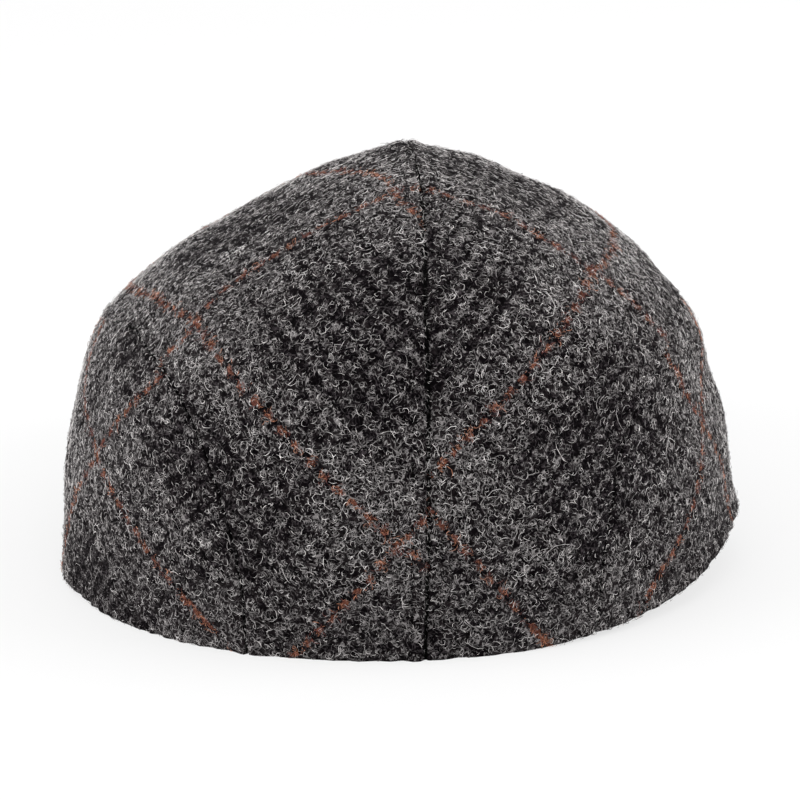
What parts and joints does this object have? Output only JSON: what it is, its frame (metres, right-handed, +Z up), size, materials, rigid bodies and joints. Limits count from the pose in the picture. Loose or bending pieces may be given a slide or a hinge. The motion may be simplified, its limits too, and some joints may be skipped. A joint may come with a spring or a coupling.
{
  "type": "flat cap",
  "caption": "Soft tweed flat cap with a seamed crown, curved side panels and a short stiff peak, standing on its hem with the head hollow open below.",
  "frame": {"origin": "on the surface that the cap rests on, under the middle of its length and width", "axes": "+Y towards the peak, +X to the wearer's right, +Z up through the crown"},
  "size_m": [0.1792, 0.2605, 0.117],
  "materials": {
    "top_tweed": "hairy charcoal and grey wool twill with a rust overcheck",
    "side_tweed": "hairy charcoal and grey wool twill with a rust overcheck",
    "peak_tweed": "the same wool twill drawn tight over a stiff board"
  },
  "bodies": {
    "root": {"top_left": "top_tweed", "top_right": "top_tweed", "side_left": "side_tweed", "side_right": "side_tweed", "peak": "peak_tweed"}
  },
  "joints": []
}
